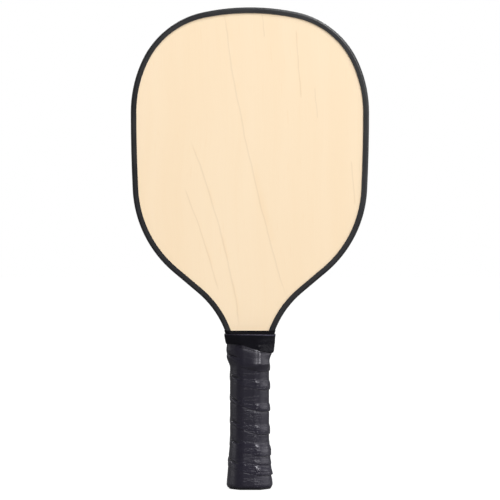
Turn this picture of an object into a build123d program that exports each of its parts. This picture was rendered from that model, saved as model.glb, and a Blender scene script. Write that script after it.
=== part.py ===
from build123d import *
from math import ceil, cos, radians, sin, sqrt, tan
import os

# A wooden pickleball paddle: a seven-ply blade with a vinyl guard round its edge, two handle
# scales, a moulded butt cap, a cushioned wrap and the tapes that finish the wrap at the neck.
#
# Millimetres. +Z runs up the paddle from its butt end to its crown, +X lies to the right as the
# front face is looked at, and the front face looks along -Y. The origin is the centre of the
# butt cap's flat end.

os.makedirs("parts", exist_ok=True)

# ---- driving dimensions -------------------------------------------------------------------

# Lengths along the paddle
handle_length = 131.0  # butt end to the top of the handle scales
face_length = 269.0  # top of the scales to the crown of the guard
paddle_length = handle_length + face_length

# Outline of the head, along the guard's outer line: arcs that run into each other in tangents
head_width = 198.2
crown_radius = 188.1
crown_half_angle = 12.1  # degrees turned from the centre line to the start of the shoulder
shoulder_end_angle = 64.5  # degrees turned at the end of the shoulder
crown_to_widest = 87.3
taper_radius = 1304.0  # the almost straight side below the widest point
hip_radius = 95.7
throat_angle = 49.9  # degrees between the throat and the paddle's axis
neck_radius = 77.3  # hollow curve from the throat into the handle
neck_reach = 27.5  # the neck curve starts this far below the top of the scales

# Blade, from its front veneer to its rear veneer
face_ply = 1.0
inner_ply = 1.5
plies = [
    ("face_veneer_front", face_ply),
    ("crossband_front", inner_ply),
    ("inner_ply_front", inner_ply),
    ("core_ply", inner_ply),
    ("inner_ply_rear", inner_ply),
    ("crossband_rear", inner_ply),
    ("face_veneer_rear", face_ply),
]

# Edge guard: a soft vinyl channel, and the double-sided tape that holds it
guard_wall = 1.2
guard_lip = 0.9
guard_lip_depth = 4.8  # outer line to the lip's inner edge
guard_edge_radius = 1.9
guard_tuck = 21.0  # the guard ends this far below the top of the scales, under the wrap
bond_tape_thickness = 0.25
bond_tape_width = 8.0
bond_gap = 0.025  # each side of the bond tape
lip_gap = 0.05

# Handle: the blade's tang between two scales, planed to eight sides
handle_width = 28.4
handle_depth = 25.0
handle_chamfer = 6.2
scale_bevel = 7.0  # height over which a scale's top slopes back to the blade
fit_gap = 0.1

# Butt cap
cap_height = 32.0
cap_floor = 3.0
cap_skirt_flare = 3.1  # how far the skirt stands out from the handle at its foot
cap_skirt_edge = 0.6  # and at its top edge
cap_rim_height = 2.6
cap_rim_flare = 3.7
cap_foot_radius = 2.4

# Staples that hold the butt cap, one on each broad side
staple_height = 20.0
staple_width = 9.0
staple_wire = 0.6
staple_leg = 5.0
staple_gap = 0.05

# Cushioned wrap: a strip wound up the handle, each turn over the top edge of the one below
strip_width = 24.0
strip_pitch = 17.6
strip_thickness = 1.5
strip_edge = 0.75  # both long edges are skived to this
strip_shoulder = 3.2  # height over which a turn settles off the edge of the one below
strip_gap = 0.05
strip_phase = 10.0  # height of its lowest edge at the right-hand front corner of the handle
strip_squeezed = 1.7  # what the finishing tape presses it down to
wrap_top_drop = 10.0  # below the top of the scales
wrap_neck_ramp = 4.0  # below the end of the guard, where the wrap starts to climb onto it

# Tape round the neck, over the scales' bevels and the ends of the guard
neck_tape_thickness = 0.35
neck_tape_lap = 0.3  # past the top of the scales, onto the blade
neck_tape_corner = 1.0

# Finishing tape over the top of the wrap
collar_thickness = 0.45
collar_top_drop = 2.9  # below the top of the scales
collar_height = 11.1
collar_slant = 9.5  # degrees: its lower edge drops to the right

# ---- places worked out from them ------------------------------------------------------------

blade_thickness = sum(thickness for name, thickness in plies)
blade_half = blade_thickness / 2
blade_inset = guard_wall + 2 * bond_gap + bond_tape_thickness
guard_half = blade_half + lip_gap + guard_lip

handle_half_width = handle_width / 2
handle_half_depth = handle_depth / 2
tang_foot = cap_floor + fit_gap
side_corner = Vector(handle_half_width, handle_half_depth - handle_chamfer)
front_corner = Vector(handle_half_width - handle_chamfer, handle_half_depth)
corner_slope = tan(radians(22.5))  # sideways shift of a corner for each unit its side moves out

wrap_foot = cap_rim_height + fit_gap
wrap_top = handle_length - wrap_top_drop
guard_end = handle_length - guard_tuck
collar_top = handle_length - collar_top_drop
collar_foot = collar_top - collar_height
neck_tape_foot = wrap_top + fit_gap
bevel_foot = handle_length - scale_bevel
neck_tape_top = handle_length + neck_tape_lap

# Upper half of the outline. It leaves the centre line level and reaches the widest point
# upright, so the shoulder's and the flank's radii solve two equations, one for the width and
# one for the depth that the crown arc leaves to them.
half_width = head_width / 2
widest_height = paddle_length - crown_to_widest
crown_way = Vector(sin(radians(crown_half_angle)), cos(radians(crown_half_angle)))
shoulder_way = Vector(sin(radians(shoulder_end_angle)), cos(radians(shoulder_end_angle)))
width_left = half_width - crown_radius * crown_way.X
depth_left = crown_to_widest - crown_radius * (1 - crown_way.Y)
shoulder_run = shoulder_way.X - crown_way.X
shoulder_drop = crown_way.Y - shoulder_way.Y
flank_run = 1 - shoulder_way.X
flank_drop = shoulder_way.Y
determinant = shoulder_run * flank_drop - flank_run * shoulder_drop
shoulder_radius = (width_left * flank_drop - flank_run * depth_left) / determinant
flank_radius = (shoulder_run * depth_left - shoulder_drop * width_left) / determinant
crown_centre = Vector(0, paddle_length - crown_radius)
flank_centre = Vector(half_width - flank_radius, widest_height)

# Lower half. The neck curve rises from the upright side of the tang, the throat leaves it in a
# straight line, and the hip's centre lies where its arc touches both the throat and the taper.
neck_start_height = handle_length - neck_reach
throat_way = Vector(sin(radians(throat_angle)), cos(radians(throat_angle)))
throat_normal = Vector(-throat_way.Y, throat_way.X)
neck_centre = Vector(handle_half_width + blade_inset + neck_radius, neck_start_height)
taper_centre = Vector(half_width - taper_radius, widest_height)
throat_start = neck_centre + throat_normal * neck_radius
hip_base = throat_start + throat_normal * hip_radius - taper_centre
hip_along = hip_base.dot(throat_way)
hip_reach = hip_base.dot(hip_base) - (taper_radius - hip_radius) ** 2
throat_length = sqrt(hip_along**2 - hip_reach) - hip_along
hip_centre = taper_centre + hip_base + throat_way * throat_length
hip_way = (hip_centre - taper_centre).normalized()


def draw_outline(inset, foot_height):
    """Draw the paddle's outline, inset from the guard's outer line, into the open line."""
    crown = crown_centre + Vector(0, crown_radius - inset)
    crown_end = crown_centre + crown_way * (crown_radius - inset)
    shoulder_end = flank_centre + shoulder_way * (flank_radius - inset)
    widest = Vector(half_width - inset, widest_height)
    taper_end = taper_centre + hip_way * (taper_radius - inset)
    hip_end = hip_centre - throat_normal * (hip_radius - inset)
    neck_end = neck_centre + throat_normal * (neck_radius + inset)
    neck_start = neck_centre - Vector(neck_radius + inset, 0)
    foot = Vector(neck_start.X, foot_height)
    RadiusArc(crown, crown_end, crown_radius - inset)
    RadiusArc(crown_end, shoulder_end, shoulder_radius - inset)
    RadiusArc(shoulder_end, widest, flank_radius - inset)
    RadiusArc(widest, taper_end, taper_radius - inset)
    RadiusArc(taper_end, hip_end, hip_radius - inset)
    Line(hip_end, neck_end)
    RadiusArc(neck_end, neck_start, -(neck_radius + inset))
    Line(neck_start, foot)
    Line(foot, Vector(0, foot_height))
    mirror(about=Plane.YZ)


def neck_half_width(height, inset):
    """Half the width across the neck curve at a height, inset from the guard's outer line."""
    radius = neck_radius + inset
    return neck_centre.X - sqrt(radius**2 - (height - neck_start_height) ** 2)


def octagon(half_width, half_depth, front_half, side_half):
    """Corners of an eight-sided section with flat front, rear and sides."""
    quarter = [(half_width, side_half), (front_half, half_depth)]
    right = [(x, -y) for x, y in reversed(quarter)] + quarter
    return right + [(-x, -y) for x, y in right]


def handle_section(growth, widening=0.0):
    """The handle's eight sides moved out by growth, and its narrow sides by widening more."""
    side_growth = growth + widening
    return octagon(
        handle_half_width + side_growth,
        handle_half_depth + growth,
        front_corner.X + growth * corner_slope,
        side_corner.Y + side_growth * corner_slope,
    )


def blade_section(half_width, half_depth):
    """A flat section round the blade and its guard, with small corners."""
    return octagon(
        half_width, half_depth, half_width - neck_tape_corner, half_depth - neck_tape_corner
    )


# ---- blade ------------------------------------------------------------------------------------

ply_back = -blade_half
for ply_name, ply_thickness in plies:
    ply_back += ply_thickness
    with BuildPart() as ply:
        with BuildSketch(Plane.XZ.offset(-ply_back)):
            with BuildLine():
                draw_outline(blade_inset, tang_foot)
            make_face()
        extrude(amount=ply_thickness)
    ply.part.label = ply_name
    export_step(ply.part, f"parts/{ply_name}.step")

# ---- edge guard and its bond tape ---------------------------------------------------------------

with BuildPart() as edge_guard:
    with BuildSketch(Plane.XZ.offset(-guard_half)):
        with BuildLine():
            draw_outline(0, tang_foot)
        make_face()
    extrude(amount=2 * guard_half)
    rims = edge_guard.edges().group_by(Axis.Y)
    fillet(rims[0] + rims[-1], guard_edge_radius)
    with BuildSketch(Plane.XZ.offset(-blade_half - lip_gap)):
        with BuildLine():
            draw_outline(guard_wall, tang_foot)
        make_face()
    extrude(amount=2 * (blade_half + lip_gap), mode=Mode.SUBTRACT)
    with BuildSketch(Plane.XZ.offset(-guard_half)):
        with BuildLine():
            draw_outline(guard_lip_depth, tang_foot)
        make_face()
    extrude(amount=2 * guard_half, mode=Mode.SUBTRACT)
    split(bisect_by=Plane.XY.offset(guard_end), keep=Keep.TOP)
    # Its lips are trimmed back where they pass the handle scales
    with BuildSketch(Plane.XY.offset(guard_end)):
        Rectangle(handle_width + 2 * fit_gap, handle_depth)
    extrude(amount=guard_tuck + fit_gap, mode=Mode.SUBTRACT)
edge_guard.part.label = "edge_guard"
export_step(edge_guard.part, "parts/edge_guard.step")

with BuildPart() as edge_bond_tape:
    with BuildSketch(Plane.XZ.offset(-bond_tape_width / 2)):
        with BuildLine():
            draw_outline(guard_wall + bond_gap, tang_foot)
        make_face()
        with BuildLine():
            draw_outline(guard_wall + bond_gap + bond_tape_thickness, tang_foot)
        make_face(mode=Mode.SUBTRACT)
    extrude(amount=bond_tape_width)
    split(bisect_by=Plane.XY.offset(guard_end), keep=Keep.TOP)
edge_bond_tape.part.label = "edge_bond_tape"
export_step(edge_bond_tape.part, "parts/edge_bond_tape.step")

# ---- butt cap and its staples -------------------------------------------------------------------

skirt_slope = (cap_skirt_flare - cap_skirt_edge) / (cap_height - cap_rim_height)
staple_flare = cap_skirt_flare - skirt_slope * (staple_height - cap_rim_height)
staple_seat = handle_half_depth + staple_flare - staple_wire
staple_spacing = staple_width - staple_wire
staple_plane = Plane.XZ.offset(staple_seat).shift_origin((0, -staple_seat, staple_height))

with BuildPart() as butt_cap_staples:
    with BuildSketch(staple_plane):
        Rectangle(staple_width, staple_wire)
    extrude(amount=staple_wire)
    with BuildSketch(staple_plane):
        with GridLocations(staple_spacing, 1, 2, 1):
            Rectangle(staple_wire, staple_wire)
    extrude(amount=-staple_leg)
    mirror(about=Plane.XZ)
butt_cap_staples.part.label = "butt_cap_staples"
export_step(butt_cap_staples.part, "parts/butt_cap_staples.step")

# The hollows that the staples lie in, a little larger all round, for the cap and the scales
with BuildPart() as staple_hollows:
    with BuildSketch(staple_plane.offset(-staple_gap)):
        Rectangle(staple_width + 2 * staple_gap, staple_wire + 2 * staple_gap)
    extrude(amount=staple_wire + cap_skirt_flare)
    with BuildSketch(staple_plane):
        with GridLocations(staple_spacing, 1, 2, 1):
            Rectangle(staple_wire + 2 * staple_gap, staple_wire + 2 * staple_gap)
    extrude(amount=-staple_leg - staple_gap)
    mirror(about=Plane.XZ)

with BuildPart() as butt_cap:
    with BuildSketch():
        Polygon(*handle_section(cap_rim_flare))
    extrude(amount=cap_rim_height)
    fillet(butt_cap.edges().group_by(Axis.Z)[0], cap_foot_radius)
    with BuildSketch(Plane.XY.offset(cap_rim_height)):
        Polygon(*handle_section(cap_skirt_flare))
    with BuildSketch(Plane.XY.offset(cap_height)):
        Polygon(*handle_section(cap_skirt_edge))
    loft(ruled=True)
    with BuildSketch(Plane.XY.offset(cap_floor)):
        Polygon(*handle_section(fit_gap))
    extrude(amount=cap_height, mode=Mode.SUBTRACT)
    add(staple_hollows.part, mode=Mode.SUBTRACT)
butt_cap.part.label = "butt_cap"
export_step(butt_cap.part, "parts/butt_cap.step")

# ---- handle scales --------------------------------------------------------------------------------

with BuildPart() as handle_scale_front:
    with BuildSketch(Plane.YZ.offset(-handle_half_width)):
        Polygon(
            (-blade_half, tang_foot),
            (-handle_half_depth, tang_foot),
            (-handle_half_depth, bevel_foot),
            (-blade_half, handle_length),
        )
    extrude(amount=handle_width)
    outer_edges = handle_scale_front.edges().filter_by(Axis.Z).group_by(Axis.Y)[0]
    chamfer(outer_edges, handle_chamfer)
    add(staple_hollows.part, mode=Mode.SUBTRACT)
handle_scale_front.part.label = "handle_scale_front"
export_step(handle_scale_front.part, "parts/handle_scale_front.step")

with BuildPart() as handle_scale_rear:
    mirror(handle_scale_front.part, about=Plane.XZ)
handle_scale_rear.part.label = "handle_scale_rear"
export_step(handle_scale_rear.part, "parts/handle_scale_rear.step")

# ---- cushioned wrap -------------------------------------------------------------------------------

# The strip lies on the cap's skirt, on the handle and, at the neck, on the ends of the guard.
neck_ramp_foot = guard_end - wrap_neck_ramp
guard_end_widening = neck_half_width(guard_end, 0) - handle_half_width
wrap_top_widening = neck_half_width(wrap_top, 0) - handle_half_width
neck_slope = (wrap_top_widening - guard_end_widening) / (wrap_top - guard_end)


def skirt_growth(height):
    """How far the surface under the strip stands out from the handle, all round."""
    return fit_gap + max(0, cap_skirt_flare - skirt_slope * (height - cap_rim_height))


def neck_widening(height):
    """How much further its narrow sides stand out, at the neck."""
    if height < guard_end:
        return max(0, guard_end_widening * (height - neck_ramp_foot) / wrap_neck_ramp)
    return guard_end_widening + neck_slope * (height - guard_end)


skirt_end = cap_rim_height + cap_skirt_flare / skirt_slope
core_heights = [0, skirt_end, neck_ramp_foot, guard_end, wrap_top + strip_width]

with BuildPart() as wound_core:
    for height in core_heights:
        with BuildSketch(Plane.XY.offset(height)):
            Polygon(*handle_section(skirt_growth(height), neck_widening(height)))
    loft(ruled=True)

# The finishing tape holds the top of the strip down, and nothing holds it below that.
collar_dip = handle_half_width * tan(radians(collar_slant))
collar_blank_foot = collar_foot - 2 * collar_dip

with BuildPart() as wrap_space:
    with BuildSketch(Plane.XY.offset(wrap_foot)):
        Polygon(*handle_section(strip_width))
    extrude(amount=collar_blank_foot - wrap_foot)
    for height in [collar_blank_foot, wrap_top]:
        with BuildSketch(Plane.XY.offset(height)):
            Polygon(*handle_section(fit_gap + strip_squeezed, neck_widening(height)))
    loft(ruled=True)

# Section of the strip: growth off what it lies on, and height above its lower edge
strip_lap = strip_width - strip_pitch
strip_proud = strip_thickness + strip_gap + strip_edge
strip_sink = -strip_edge  # the strip's back starts inside the core, which is then cut out of it
strip_profile = [
    (strip_thickness + strip_gap, 0),
    (strip_proud, 0),
    (strip_proud, strip_lap),
    (strip_thickness, strip_lap + strip_shoulder),
    (strip_thickness, strip_pitch),
    (strip_edge, strip_width),
    (strip_sink, strip_width),
    (strip_sink, strip_lap + strip_gap),
    (strip_edge + strip_gap, strip_lap + strip_gap),
]

# The handle's corners in the order in which the strip passes them on its way down
wound_corners = [
    (side_corner, 1, -1), (side_corner, 1, 1), (front_corner, 1, 1), (front_corner, -1, 1),
    (side_corner, -1, 1), (side_corner, -1, -1), (front_corner, -1, -1), (front_corner, 1, -1),
]
corner_points = [Vector(corner.X * x, corner.Y * y) for corner, x, y in wound_corners]
next_points = corner_points[1:] + corner_points[:1]
side_lengths = [(after - before).length for before, after in zip(corner_points, next_points)]
side_falls = [strip_pitch * length / sum(side_lengths) for length in side_lengths]
turns_up = ceil((wrap_top - strip_phase) / strip_pitch)
turns_down = ceil((strip_phase + strip_width - wrap_foot) / strip_pitch)
wound_steps = len(wound_corners) * (turns_up + turns_down) + 1

with BuildPart() as cushion_grip:
    edge_height = strip_phase + turns_up * strip_pitch
    for step in range(wound_steps):
        turn = step % len(wound_corners)
        corner, x_side, y_side = wound_corners[turn]
        on_side = corner is side_corner
        side_way = Vector(x_side, corner_slope * y_side)
        front_way = Vector(corner_slope * x_side, y_side)
        outward = side_way if on_side else front_way
        section = []
        for growth, rise in strip_profile:
            height = edge_height + rise
            seat = skirt_growth(height) + (neck_widening(height) if on_side else 0)
            section.append(((seat + growth) * outward.length, height))
        strip_normal = outward.cross(Vector(0, 0, 1))
        with BuildSketch(Plane(corner_points[turn], x_dir=outward, z_dir=strip_normal)):
            Polygon(*section)
        edge_height -= side_falls[turn]
    loft(ruled=True)
    add(wound_core.part, mode=Mode.SUBTRACT)
    add(wrap_space.part, mode=Mode.INTERSECT)
cushion_grip.part.label = "cushion_grip"
export_step(cushion_grip.part, "parts/cushion_grip.step")

# ---- neck tape --------------------------------------------------------------------------------------

neck_foot_widening = neck_half_width(neck_tape_foot, 0) - handle_half_width
neck_bevel_widening = neck_half_width(bevel_foot, 0) - handle_half_width
neck_top_half_width = neck_half_width(neck_tape_top, 0)

with BuildPart() as neck_tape:
    for growth, mode in [(fit_gap + neck_tape_thickness, Mode.ADD), (fit_gap, Mode.SUBTRACT)]:
        with BuildSketch(Plane.XY.offset(neck_tape_foot)):
            Polygon(*handle_section(growth, neck_foot_widening))
        with BuildSketch(Plane.XY.offset(bevel_foot)):
            Polygon(*handle_section(growth, neck_bevel_widening))
        with BuildSketch(Plane.XY.offset(neck_tape_top)):
            Polygon(*blade_section(neck_top_half_width + growth, guard_half + growth))
        loft(ruled=True, mode=mode)
neck_tape.part.label = "neck_tape"
export_step(neck_tape.part, "parts/neck_tape.step")

# ---- finishing tape -----------------------------------------------------------------------------------

# It follows the slope of the wrap's top and goes on past it, so its rim stands clear of the neck.
collar_cut = Plane((0, 0, collar_foot), z_dir=Vector(0, 0, 1).rotate(Axis.Y, collar_slant))

with BuildPart() as collar_tape:
    for thickness, mode in [(collar_thickness, Mode.ADD), (0, Mode.SUBTRACT)]:
        for height in [collar_blank_foot, collar_top]:
            with BuildSketch(Plane.XY.offset(height)):
                growth = 2 * fit_gap + strip_squeezed + thickness
                Polygon(*handle_section(growth, neck_widening(height)))
        loft(ruled=True, mode=mode)
    split(bisect_by=collar_cut, keep=Keep.TOP)
collar_tape.part.label = "collar_tape"
export_step(collar_tape.part, "parts/collar_tape.step")
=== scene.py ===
import math

import bmesh
import bpy
from bpy.props import FloatProperty, FloatVectorProperty, PointerProperty
from bpy.types import Operator, Panel, PropertyGroup
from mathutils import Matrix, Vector


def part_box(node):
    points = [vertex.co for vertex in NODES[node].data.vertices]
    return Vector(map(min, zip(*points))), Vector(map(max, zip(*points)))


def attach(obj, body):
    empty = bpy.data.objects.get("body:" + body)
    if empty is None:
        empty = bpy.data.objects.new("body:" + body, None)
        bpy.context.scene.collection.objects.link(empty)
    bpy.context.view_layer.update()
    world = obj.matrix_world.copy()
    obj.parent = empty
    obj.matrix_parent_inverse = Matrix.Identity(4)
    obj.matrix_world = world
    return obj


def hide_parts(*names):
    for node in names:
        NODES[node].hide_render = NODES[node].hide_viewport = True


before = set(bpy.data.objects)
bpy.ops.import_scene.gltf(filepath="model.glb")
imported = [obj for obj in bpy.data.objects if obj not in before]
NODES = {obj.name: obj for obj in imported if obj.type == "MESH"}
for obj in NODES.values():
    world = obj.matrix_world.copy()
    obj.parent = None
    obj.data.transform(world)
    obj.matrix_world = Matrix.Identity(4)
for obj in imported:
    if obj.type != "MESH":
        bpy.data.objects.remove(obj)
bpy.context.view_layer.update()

bl_info = {
    "name": "Wooden Pickleball Paddle",
    "version": (1, 0, 0),
    "blender": (4, 5, 0),
    "location": "3D View > Sidebar > Paddle",
    "description": "Dresses the paddle's fixed parts, winds its grip and sets up its stage",
    "category": "Object",
}

HANDLE_LOW, HANDLE_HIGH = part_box("handle_scale_front")
GRIP_LOW, GRIP_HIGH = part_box("cushion_grip")
MM = 0.001
FULL_TURN = 2.0 * math.pi
WHITE = (1.0, 1.0, 1.0, 1.0)
EDGE_MASK = "proud"      # a wrap's mask kept on its mesh: worn laps that carry a painted highlight, or a cut edge painted as a highlight
SEAM = 0.01 * MM         # points nearer than this are merged where a grid's edges meet

# Heights up the neck: tight turns give way to puffed ones between the first two, the laps' worn,
# highlight-painted shoulders stop between the middle two, and their steps sink between the last two
NECK_FOOT, NECK_LAPS, NECK_STEPS, NECK_TOP = 92.0 * MM, 97.0 * MM, 101.0 * MM, 106.0 * MM


# ---- sizes and colours a user would change -------------------


def length(name, description, default):
    """A size in metres."""
    return FloatProperty(
        name=name, description=description, default=default, subtype="DISTANCE", unit="LENGTH")


def number(name, description, default, subtype="NONE"):
    """A plain number, or a share or level of something."""
    return FloatProperty(name=name, description=description, default=default, subtype=subtype)


def watts(name, description, default):
    """The power of a lamp in watts."""
    return FloatProperty(
        name=name, description=description, default=default, subtype="POWER", unit="POWER")


def swatch(name, description, default):
    """A colour, in linear light."""
    return FloatVectorProperty(
        name=name, description=description, default=default, size=3, subtype="COLOR")


class HandleSizes(PropertyGroup):
    """The eight-sided wooden handle under the wrap."""

    width: length("Handle Width", "Across the handle's narrow sides", HANDLE_HIGH.x - HANDLE_LOW.x)
    depth: length("Handle Depth", "Across the handle's broad sides", -2 * HANDLE_LOW.y)
    chamfer: length("Handle Chamfer", "Width that each sloping side takes off a corner", 6.2 * MM)
    skirt_foot: length("Skirt Foot", "Height at which the butt cap's skirt is widest", 2.6 * MM)
    skirt_end: length("Skirt End", "Height at which the skirt's slope meets the handle", 39.1 * MM)
    skirt_flare: length("Skirt Flare", "How far the skirt stands out at its foot", 3.1 * MM)
    guard_end: length(
        "Guard End", "Height of the ends of the edge guard under the wrap",
        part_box("edge_guard")[0].z)
    guard_step: length("Guard Step", "How far the guard's ends push the wrap out", 2.8 * MM)
    neck_flare: length(
        "Neck Flare", "How much wider the neck gets up to the top of the wrap", 1.0 * MM)
    neck_slant: number(
        "Neck Slant", "How much later the neck widens for each metre to the right", 0.18)
    step_foot: length(
        "Step Foot", "Height at which the wrap starts to climb onto the guard", 102.9 * MM)
    step_top: length("Step Top", "Height at which the wrap lies on the guard", 112.4 * MM)
    bulge: length("Bulge", "How far the wrap bulges out below the collar", 2.6 * MM)
    bulge_place: length("Bulge Place", "How far right of the middle the bulge begins", 5.8 * MM)
    bulge_height: length("Bulge Height", "Height at which that bulge is fullest", 104 * MM)


class GripSizes(PropertyGroup):
    """The cushioned strip wound up the handle."""

    strip_width: length("Strip Width", "Width of the cushioned strip", 23 * MM)
    strip_thickness: length("Strip Thickness", "Thickness of the cushioned strip", 1.72 * MM)
    edge_thickness: length("Edge Thickness", "Thickness left at the strip's skived edges", 0.8 * MM)
    pitch: length("Pitch", "Rise of the strip for each turn", 17.2 * MM)
    shoulder: length("Shoulder", "Height over which a turn settles off the edge below it", 3.2 * MM)
    left_crease: length(
        "Left Crease", "Depth of the crease over each lap on the left corner", 0.95 * MM)
    lap_crown: length("Lap Crown", "How far a turn bulges out over the edge below it", 0.18 * MM)
    level_turns: number(
        "Level Turns", "Turns wound level at the butt before the strip climbs", 0.89)
    corner: length("Corner Radius", "Radius that the cushion gives the handle's corners", 9.0 * MM)
    drift: length("Hand Drift", "How far turns wander from even spacing", 1.6 * MM)
    lean: length("Back Lean", "How far the turns are pulled steeper across the back", 1.23 * MM)
    sag: length(
        "Corner Sag", "How far the turns level out past the front's right corner", 1.01 * MM)
    foot_drop: length(
        "Foot Drop", "How far the first turn is folded down over the cap's rim", 1.5 * MM)
    foot_radius: length("Foot Radius", "Radius that the wrap's foot is rounded in with", 4.5 * MM)
    unevenness: length("Unevenness", "Height of the wrap's soft dents and swells", 0.16 * MM)
    seed: number("Seed", "Place in the noise that the dents are taken from", 3.0)
    colour: swatch("Grip Colour", "Colour of the synthetic leather", (0.0128, 0.0114, 0.0192))


class TapeSizes(PropertyGroup):
    """The finishing tape round the top of the wrap."""

    thickness: length("Tape Thickness", "Thickness of the wound tape", 0.45 * MM)
    top: length(
        "Collar Top", "Height of the collar's upper edge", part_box("collar_tape")[1].z + 0.5 * MM)
    foot_left: length(
        "Collar Foot Left", "Height of the collar's lower edge on the left", 120.4 * MM)
    foot_right: length(
        "Collar Foot Right", "Height of the collar's lower edge on the right", 113.1 * MM)
    squeezed_strip: length(
        "Squeezed Strip", "Thickness the tape squeezes the wrap's laps to", 1.6 * MM)
    corner: length("Corner Radius", "Radius of the collar's corners", 5.0 * MM)
    tear_start: number(
        "Tear Start", "Share of a turn from the left to the tape's torn end", 0.235, "FACTOR")
    crumple: length("Crumple", "Height of the folds at the torn end", 0.8 * MM)
    rim_lift: length("Rim Lift", "How far the collar's upper edge stands away", 1.15 * MM)
    seed: number("Seed", "Place in the noise that the folds are taken from", 1.7)
    colour: swatch("Tape Colour", "Colour of the stretched vinyl tape", (0.0055, 0.0052, 0.0080))


class FinishColours(PropertyGroup):
    """Colours of the woods, plastics and metal."""

    veneer: swatch("Veneer", "Lacquered maple between its grain lines", (0.980, 0.790, 0.560))
    veneer_amber: swatch("Veneer Amber", "Warm stain along the grain lines", (0.900, 0.640, 0.360))
    crossband: swatch("Crossband", "Darker plies of the blade", (0.62, 0.42, 0.24))
    inner_ply: swatch("Inner Ply", "Paler plies of the blade", (0.80, 0.62, 0.40))
    handle_wood: swatch("Handle Wood", "Planed wood of the handle scales", (0.66, 0.48, 0.28))
    guard: swatch("Edge Guard", "Black vinyl of the edge guard", (0.011, 0.011, 0.013))
    cap: swatch("Butt Cap", "Moulded plastic of the butt cap", (0.016, 0.015, 0.019))
    bond_tape: swatch("Bond Tape", "Double-sided tape under the guard", (0.74, 0.71, 0.62))
    staple: swatch("Staple", "Bare steel wire of the staples", (0.58, 0.57, 0.55))


class StageSettings(PropertyGroup):
    """Camera, lamps and surroundings."""

    lens: FloatProperty(
        name="Lens", description="Focal length of the camera", default=138.25,
        subtype="DISTANCE_CAMERA", unit="CAMERA")
    distance: length("Camera Distance", "From the camera to the paddle's middle plane", 1.6)
    camera_height: length("Camera Height", "Height of the camera above the butt end", 0.19825)
    key_power: watts("Key Power", "Power of the lamp on the upper right", 162.0)
    top_power: watts("Top Power", "Power of the lamp over the camera", 117.0)
    back_power: watts("Back Power", "Power of each of the two lamps behind the paddle", 45.0)
    room_front: number("Room Front", "Brightness of the room on the camera's side", 0.05, "FACTOR")
    room_left: number("Room Left", "Brightness of the room's left wall", 1.5, "FACTOR")
    room_right: number("Room Right", "Brightness of the room's right wall", 2.75, "FACTOR")
    room_back: number("Room Back", "Brightness of the room behind the paddle", 0.25, "FACTOR")


# ---- node trees ----------------------------------------------


FLOAT = "NodeSocketFloat"
VECTOR = "NodeSocketVector"


class Field:
    """A socket of a node tree that can be added, multiplied and so on as a number can."""

    def __init__(self, nodes, socket):
        self.nodes = nodes
        self.socket = socket

    def __add__(self, other):
        return self.nodes.math("ADD", self, other)

    def __sub__(self, other):
        return self.nodes.math("SUBTRACT", self, other)

    def __mul__(self, other):
        return self.nodes.math("MULTIPLY", self, other)

    def __truediv__(self, other):
        return self.nodes.math("DIVIDE", self, other)

    def __rsub__(self, other):
        return self.nodes.math("SUBTRACT", other, self)

    def __abs__(self):
        return self.nodes.math("ABSOLUTE", self)

    __radd__ = __add__
    __rmul__ = __mul__


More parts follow.
